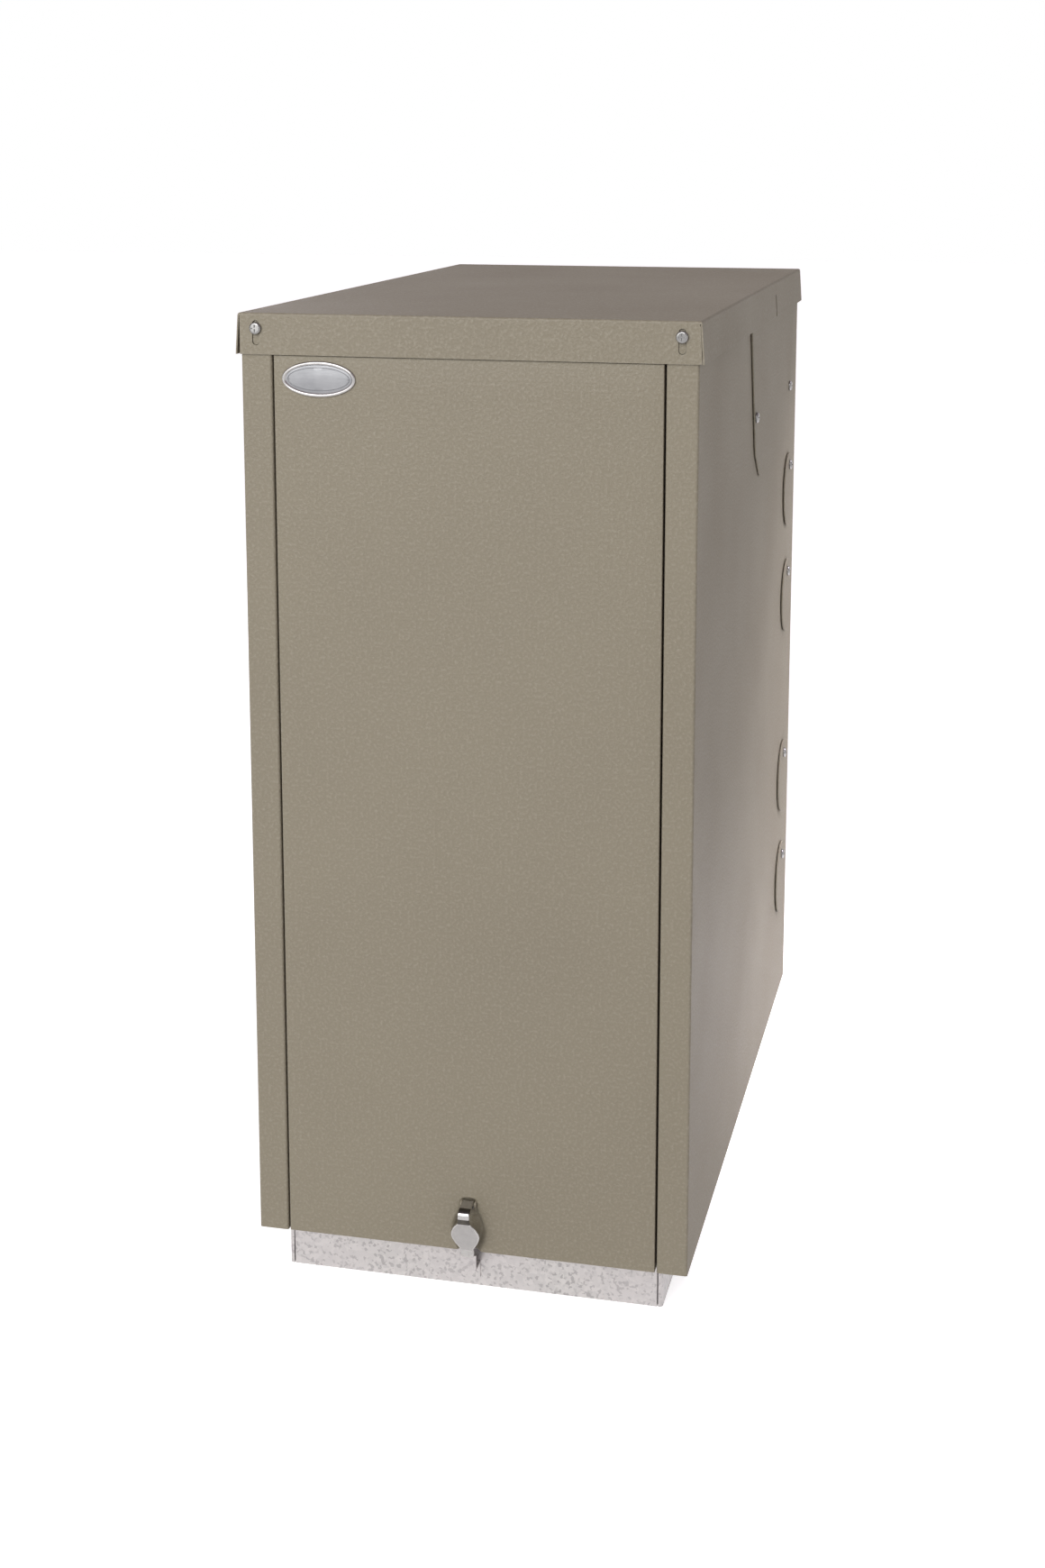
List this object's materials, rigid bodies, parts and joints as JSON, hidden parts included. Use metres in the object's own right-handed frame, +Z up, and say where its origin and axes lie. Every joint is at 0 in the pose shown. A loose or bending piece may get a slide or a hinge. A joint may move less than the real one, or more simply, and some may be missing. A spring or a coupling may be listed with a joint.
{
  "type": "oil boiler",
  "caption": "Outdoor oil boiler: tall sheet-metal cabinet on a plinth, lift-off lid, pull-off front panel with a thumb latch, side flue plates and pipe covers, burner inside.",
  "frame": {"origin": "on the ground under the middle of the casing", "axes": "+X to the right seen from the front, front faces -Y, +Z up"},
  "size_m": [0.4012, 0.7418, 0.865],
  "materials": {
    "casing_paint": "textured semi-gloss powder coat",
    "galvanised_steel": "galvanised, spangled",
    "zinc_screw": "bright zinc",
    "spring_steel": "blued spring steel",
    "latch_chrome": "bright plated",
    "badge_plate": "satin with a bright rim",
    "boiler_steel": "matt black heat paint",
    "stainless_steel": "satin",
    "insulation_foil": "foil-faced mineral wool",
    "cast_aluminium": "as cast",
    "motor_paint": "satin",
    "hood_red": "moulded, semi-gloss",
    "black_plastic": "moulded",
    "red_plastic": "moulded",
    "white_plastic": "moulded",
    "brass_fitting": "machined",
    "copper_pipe": "drawn copper",
    "panel_grey": "satin"
  },
  "bodies": {
    "cabinet": {"baffles": "boiler_steel", "base_pan": "galvanised_steel", "blast_tube": "stainless_steel", "boiler_shell": "boiler_steel", "burner_control_box": "black_plastic", "burner_hood": "hood_red", "burner_housing": "cast_aluminium", "burner_motor": "motor_paint", "burner_plate": "boiler_steel", "burner_plate_nuts": "zinc_screw", "cable_gland": "black_plastic", "cleaning_cover": "boiler_steel", "cleaning_cover_knobs": "black_plastic", "condensate_pipe": "white_plastic", "condensate_trap": "white_plastic", "condenser": "stainless_steel", "control_panel": "panel_grey", "drain_cock": "brass_fitting", "flow_pipe": "copper_pipe", "flue_elbow": "stainless_steel", "flue_plate_left": "casing_paint", "flue_plate_right": "casing_paint", "front_top_rail": "galvanised_steel", "insulation_jacket": "insulation_foil", "latch_keeper": "galvanised_steel", "nozzle_assembly": "brass_fitting", "oil_pipe": "copper_pipe", "oil_pump": "cast_aluminium", "oil_valve": "brass_fitting", "panel_clips": "spring_steel", "panel_screws": "zinc_screw", "plinth_front": "galvanised_steel", "plinth_rail_left": "galvanised_steel", "plinth_rail_right": "galvanised_steel", "plinth_rear": "galvanised_steel", "rear_panel": "casing_paint", "return_pipe": "copper_pipe", "side_panel_left": "casing_paint", "side_panel_right": "casing_paint"},
    "lid": {"lid": "casing_paint", "lid_screws": "zinc_screw"},
    "front_panel": {"front_panel": "casing_paint", "panel_studs": "zinc_screw", "badge": "badge_plate", "latch_bracket": "galvanised_steel"},
    "latch": {"latch_lever": "latch_chrome"},
    "fan": {"fan_wheel": "cast_aluminium"},
    "thermostat": {"thermostat_knob": "black_plastic"},
    "switch": {"power_switch": "black_plastic"},
    "limit_button": {"limit_reset_button": "black_plastic"},
    "reset_button": {"burner_reset_button": "red_plastic"},
    "valve_lever": {"oil_valve_lever": "red_plastic"},
    "cover_right_1": {"pipe_cover_right_1": "casing_paint"},
    "cover_right_2": {"pipe_cover_right_2": "casing_paint"},
    "cover_right_3": {"pipe_cover_right_3": "casing_paint"},
    "cover_right_4": {"pipe_cover_right_4": "casing_paint"},
    "cover_left_1": {"pipe_cover_left_1": "casing_paint"},
    "cover_left_2": {"pipe_cover_left_2": "casing_paint"},
    "cover_left_3": {"pipe_cover_left_3": "casing_paint"},
    "cover_left_4": {"pipe_cover_left_4": "casing_paint"}
  },
  "joints": [
    {"name": "lid_lift", "type": "slide", "parent": "cabinet", "child": "lid", "axis": [0, 0, 1], "range_m": [0, 0.3]},
    {"name": "front_panel_pull", "type": "slide", "parent": "cabinet", "child": "front_panel", "axis": [0, -1, 0], "range_m": [0, 0.45]},
    {"name": "latch_swing", "type": "hinge", "parent": "front_panel", "child": "latch", "pos_m": [0, -0.36, 0.084], "axis": [-1, 0, 0], "range_deg": [0, 55]},
    {"name": "cover_right_1_swing", "type": "hinge", "parent": "cabinet", "child": "cover_right_1", "pos_m": [0.1964, 0.289, 0.655], "axis": [1, 0, 0], "range_deg": [0, 110]},
    {"name": "cover_right_2_swing", "type": "hinge", "parent": "cabinet", "child": "cover_right_2", "pos_m": [0.1964, 0.289, 0.536], "axis": [1, 0, 0], "range_deg": [0, 110]},
    {"name": "cover_right_3_swing", "type": "hinge", "parent": "cabinet", "child": "cover_right_3", "pos_m": [0.1964, 0.289, 0.328], "axis": [1, 0, 0], "range_deg": [0, 110]},
    {"name": "cover_right_4_swing", "type": "hinge", "parent": "cabinet", "child": "cover_right_4", "pos_m": [0.1964, 0.289, 0.209], "axis": [1, 0, 0], "range_deg": [0, 110]},
    {"name": "cover_left_1_swing", "type": "hinge", "parent": "cabinet", "child": "cover_left_1", "pos_m": [-0.1964, 0.289, 0.655], "axis": [1, 0, 0], "range_deg": [0, 110]},
    {"name": "cover_left_2_swing", "type": "hinge", "parent": "cabinet", "child": "cover_left_2", "pos_m": [-0.1964, 0.289, 0.536], "axis": [1, 0, 0], "range_deg": [0, 110]},
    {"name": "cover_left_3_swing", "type": "hinge", "parent": "cabinet", "child": "cover_left_3", "pos_m": [-0.1964, 0.289, 0.328], "axis": [1, 0, 0], "range_deg": [0, 110]},
    {"name": "cover_left_4_swing", "type": "hinge", "parent": "cabinet", "child": "cover_left_4", "pos_m": [-0.1964, 0.289, 0.209], "axis": [1, 0, 0], "range_deg": [0, 110]},
    {"name": "fan_spin", "type": "hinge", "parent": "cabinet", "child": "fan", "pos_m": [0, -0.217, 0.22], "axis": [1, 0, 0], "continuous": true},
    {"name": "thermostat_turn", "type": "hinge", "parent": "cabinet", "child": "thermostat", "pos_m": [-0.095, -0.311, 0.741], "axis": [0, 1, 0], "range_deg": [0, 270]},
    {"name": "switch_rock", "type": "hinge", "parent": "cabinet", "child": "switch", "pos_m": [0.02, -0.308, 0.741], "axis": [1, 0, 0], "range_deg": [-8, 8]},
    {"name": "limit_push", "type": "slide", "parent": "cabinet", "child": "limit_button", "axis": [0, 1, 0], "range_m": [0, 0.004], "stiffness_N_per_m": 400},
    {"name": "reset_push", "type": "slide", "parent": "cabinet", "child": "reset_button", "axis": [0, 1, 0], "range_m": [0, 0.004], "stiffness_N_per_m": 400},
    {"name": "valve_turn", "type": "hinge", "parent": "cabinet", "child": "valve_lever", "pos_m": [0.086, -0.291, 0.08], "axis": [0, 0, -1], "range_deg": [0, 90]}
  ]
}
